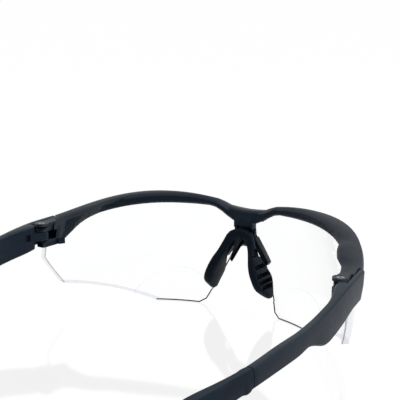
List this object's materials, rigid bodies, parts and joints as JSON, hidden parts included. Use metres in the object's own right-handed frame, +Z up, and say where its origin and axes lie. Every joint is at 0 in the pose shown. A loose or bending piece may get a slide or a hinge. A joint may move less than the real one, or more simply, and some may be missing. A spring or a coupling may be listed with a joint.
{
  "type": "bifocal safety glasses",
  "caption": "Wraparound half-frame safety glasses with clear lenses and moulded reading segments, a rubber nose saddle and folding temples with soft tips.",
  "frame": {"origin": "centre of the bounding box's base: midway between the temples, midway between the lens fronts and the temple tips, on the table", "axes": "+X towards the wearer's left, +Y back along the temples (the wearer looks along -Y), +Z up"},
  "size_m": [0.1436, 0.1714, 0.044],
  "materials": {
    "frame": "matte charcoal with a blue tint",
    "temple": "matte charcoal with a blue tint",
    "bracket": "matte charcoal",
    "lens": "clear polycarbonate, polished",
    "nose_rubber": "soft black rubber",
    "tip_rubber": "soft black rubber",
    "screw": "plated steel"
  },
  "bodies": {
    "front": {"frame_front": "frame", "lens_left": "lens", "lens_right": "lens", "nose_bracket": "bracket", "nose_saddle": "nose_rubber", "hinge_screw_left": "screw", "hinge_screw_right": "screw"},
    "left_arm": {"temple_left": "temple", "tip_sleeve_left": "tip_rubber"},
    "right_arm": {"temple_right": "temple", "tip_sleeve_right": "tip_rubber"}
  },
  "joints": [
    {"name": "fold_left", "type": "hinge", "parent": "front", "child": "left_arm", "pos_m": [0.064, -0.03451, 0.03], "axis": [0, 0, 1], "range_deg": [0, 92]},
    {"name": "fold_right", "type": "hinge", "parent": "front", "child": "right_arm", "pos_m": [-0.064, -0.03451, 0.03], "axis": [0, 0, -1], "range_deg": [0, 85]}
  ]
}
